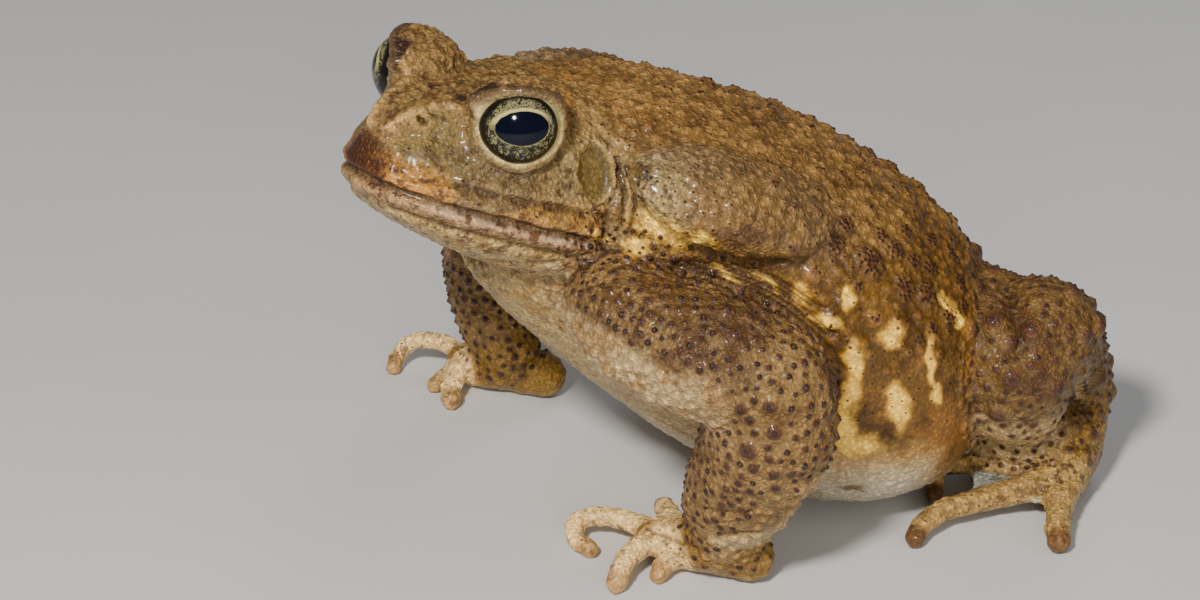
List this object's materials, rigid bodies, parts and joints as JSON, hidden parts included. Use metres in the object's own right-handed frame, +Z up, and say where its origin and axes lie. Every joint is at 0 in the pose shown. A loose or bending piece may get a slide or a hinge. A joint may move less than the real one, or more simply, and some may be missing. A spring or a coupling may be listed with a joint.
{
  "type": "cane toad figure",
  "caption": "Life-size still figure of a large warty toad sitting with its front end raised, on splayed hands, belly and folded hind legs.",
  "frame": {"origin": "centre of the bounding box in plan, at floor level", "axes": "+X to the toad's left, +Y to its rear, +Z up; the snout points along -Y and a little to the left"},
  "size_m": [0.122, 0.1376, 0.0925],
  "materials": {
    "skin": "moist warty skin, brown and olive",
    "pale_skin": "moist skin, tan and cream",
    "gland": "moist pitted skin, brown",
    "eardrum": "smooth thin skin, olive",
    "eye": "wet gloss, black and gold"
  },
  "bodies": {
    "root": {"head": "skin", "lower_jaw": "pale_skin", "torso": "skin", "eye_left": "eye", "eye_right": "eye", "tympanum_left": "eardrum", "tympanum_right": "eardrum", "parotoid_left": "gland", "parotoid_right": "gland", "upper_arm_left": "skin", "forearm_left": "skin", "hand_left": "pale_skin", "thigh_left": "skin", "shank_left": "skin", "foot_left": "pale_skin", "upper_arm_right": "skin", "forearm_right": "skin", "hand_right": "pale_skin", "thigh_right": "skin", "shank_right": "skin", "foot_right": "pale_skin"}
  },
  "joints": []
}
